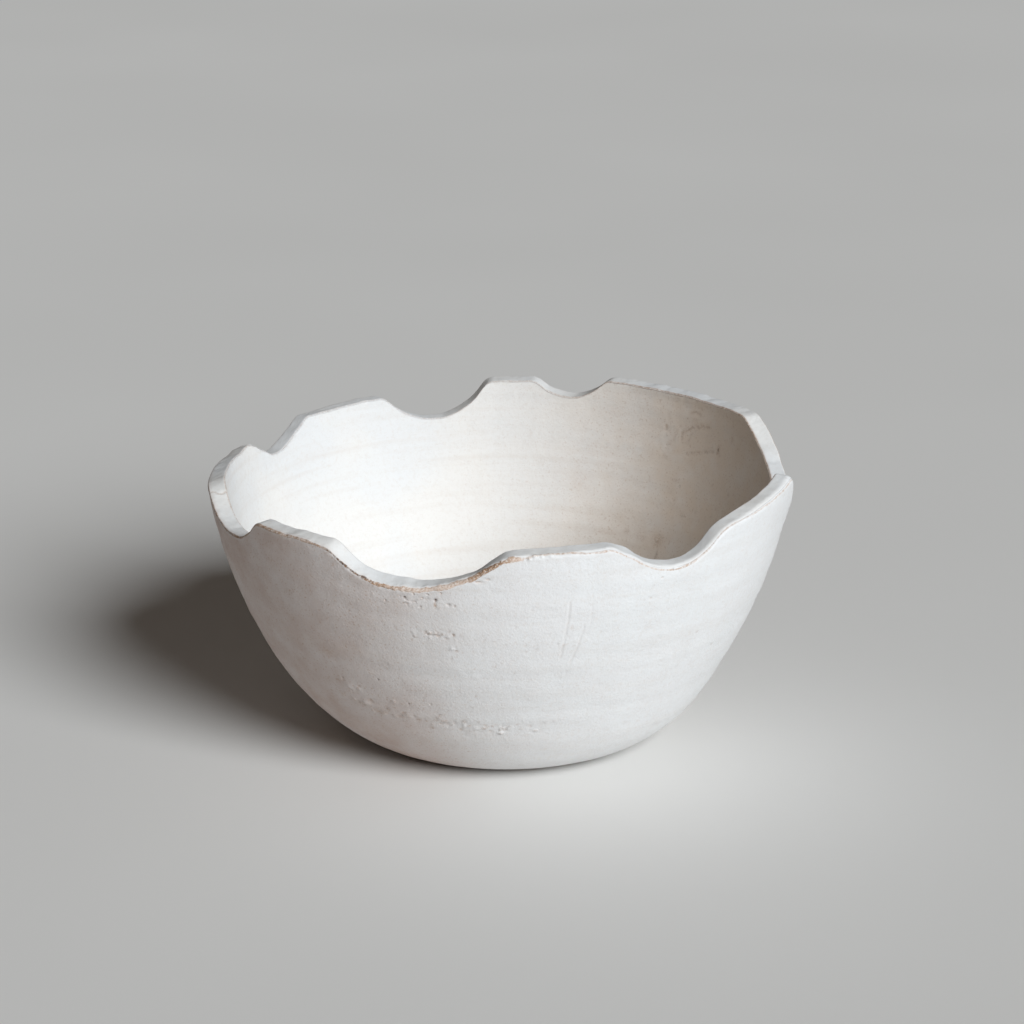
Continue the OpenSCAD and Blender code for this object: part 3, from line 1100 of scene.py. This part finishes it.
def slip_material(name, white, tint, lines, speckle, bumps):
    """Matte white slip, tinted where the slip is thinner and as painted shade on the sides away from the
    light, with faint level brush lines, specks and worn places.
    """
    material, tree, shader, place = surface(name)
    thin_and_shade = layer_value(tree, "thin_and_shade")
    colour = mixed(tree, spread(tree, grainy(tree, place, 14.0, 2.0), 0.4, 0.6), COOL, white)
    patchy = spread(tree, grainy(tree, place, 70.0, 4.0, 0.6), 0.3, 0.7, 0.78, 1.18)
    # The tint here is partly thinner slip and partly painted shade.
    colour = mixed(tree, maths(tree, "MULTIPLY", thin_and_shade, patchy), colour, tint)
    stretched = add(tree, "ShaderNodeMapping", {"Vector": place, "Scale": BRUSH_STRETCH}).outputs[0]
    brushed = spread(tree, grainy(tree, stretched, 1.0, 3.0), 0.48, 0.72, 0.0, lines)
    colour = mixed(tree, brushed, colour, WARM)
    mottle = spread(tree, grainy(tree, place, 420.0, 3.0, 0.65), 0.50, 0.72, 0.0, 0.20)
    colour = mixed(tree, mottle, colour, WARM)
    specks = spread(tree, grainy(tree, place, 950.0, 2.0), 0.60, 0.70, 0.0, speckle)
    specks = maths(tree, "MULTIPLY", specks, spread(tree, thin_and_shade, 0.0, 0.6, 0.12, 1.0))
    colour = mixed(tree, specks, colour, CLAY)
    clay = clay_colour(tree, place)
    broken = spread(tree, grainy(tree, place, 700.0, 3.0, 0.6), 0.3, 0.7, 0.45, 1.30)
    colour = mixed(tree, maths(tree, "MULTIPLY", layer_value(tree, "stain"), broken), colour, clay)
    worn = maths(tree, "MULTIPLY", layer_value(tree, "bare"), broken)
    colour = mixed(tree, spread(tree, worn, 0.10, 0.90), colour, clay)
    tree.links.new(colour, shader.inputs["Base Color"])
    roughened(tree, shader, place, 0.78, 0.92, *bumps)
    return material


def floor_material():
    material, tree, shader, place = surface("pale_floor")
    shade = spread(tree, grainy(tree, place, 2.0, 2.0), 0.3, 0.7)
    colour = mixed(tree, shade, FLOOR_DEEP, FLOOR_PALE)
    tree.links.new(colour, shader.inputs["Base Color"])
    shader.inputs["Roughness"].default_value = 0.85
    return material


white_outside = slip_material("white_slip_outside", BRIGHT, PINK_THIN_AND_SHADE, 0.10, 0.50, (0.16, 0.17, 0.10))
white_inside = slip_material("white_slip_inside", WHITE, BEIGE_THIN_AND_SHADE, 0.22, 0.35, (0.15, 0.08, 0.05))
white_rim = slip_material("white_slip_rim", WHITE, PINK_THIN_AND_SHADE, 0.03, 0.20, (0.12, 0.08, 0.05))

outer_mesh = outer_slip()
refined(outer_mesh, OUTER_MARKS, OUTER_TRACES, False)
inner_mesh = inner_slip()
refined(inner_mesh, INNER_MARKS, INNER_TRACES, True)
parts = [
    (clay_body(), clay_material(), "fired_clay", "clay_body"),
    (outer_mesh, white_outside, "white_slip", "outer_slip"),
    (inner_mesh, white_inside, "white_slip", "inner_slip"),
    (rim_slip(), white_rim, "white_slip", "rim_slip"),
]
for mesh, material, slot, node in parts:
    weather(mesh, node == "clay_body")
    place_piece(mesh, material, node)

# ---- floor, light and camera

FLOOR_SIZE = 24.0
LIGHT_DISTANCE = 3.0
LENS = 125.0
SENSOR_WIDTH = 36.0
VIEW_BEARING = 270
VIEW_DISTANCE = 1.9
VIEW_ELEVATION = 19.0
VIEW_LEVEL = 0.08
AIM = Vector((0.0064, 0.0122, 0.1154))


def add_object(name, data):
    made = bpy.data.objects.new(name, data)
    bpy.context.collection.objects.link(made)
    return made


def around(bearing, elevation, distance):
    """A place round the bowl, in metres."""
    b, e = math.radians(bearing), math.radians(elevation)
    return Vector((math.cos(b) * math.cos(e), math.sin(b) * math.cos(e), math.sin(e))) * distance


def add_floor():
    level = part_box("clay_body")[0].z
    half = FLOOR_SIZE / 2
    mesh = bpy.data.meshes.new("Floor")
    corners = [(-half, -half, level), (half, -half, level), (half, half, level), (-half, half, level)]
    mesh.from_pydata(corners, [], [(0, 1, 2, 3)])
    mesh.materials.append(floor_material())
    add_object("Floor", mesh)


def add_window_light(bearing, elevation, width, strength, colour):
    """Soft daylight from one side: a far light that looks as many degrees wide as a large window."""
    data = bpy.data.lights.new("Daylight", "SUN")
    data.angle = math.radians(width)
    data.energy = strength
    data.color = colour
    light = add_object("Daylight", data)
    light.location = around(bearing, elevation, LIGHT_DISTANCE)
    light.rotation_euler = (-light.location).to_track_quat("-Z", "Y").to_euler()


def add_world(colour, strength):
    world = bpy.data.worlds.new("Studio")
    world.use_nodes = True
    world.node_tree.nodes["Background"].inputs["Color"].default_value = colour
    world.node_tree.nodes["Background"].inputs["Strength"].default_value = strength
    bpy.context.scene.world = world


def add_camera():
    data = bpy.data.cameras.new("Camera")
    data.lens = LENS
    data.sensor_width = SENSOR_WIDTH
    view = add_object("Camera", data)
    view.location = Vector((0, 0, VIEW_LEVEL)) + around(VIEW_BEARING, VIEW_ELEVATION, VIEW_DISTANCE)
    view.rotation_euler = (AIM - view.location).to_track_quat("-Z", "Y").to_euler()
    bpy.context.scene.camera = view


add_floor()
add_window_light(bearing=305, elevation=31, width=30, strength=3.35, colour=(0.93, 0.97, 1.0))
add_world(colour=(1.0, 0.86, 0.75, 1), strength=0.07)
add_camera()
bpy.context.scene.view_settings.view_transform = "Standard"
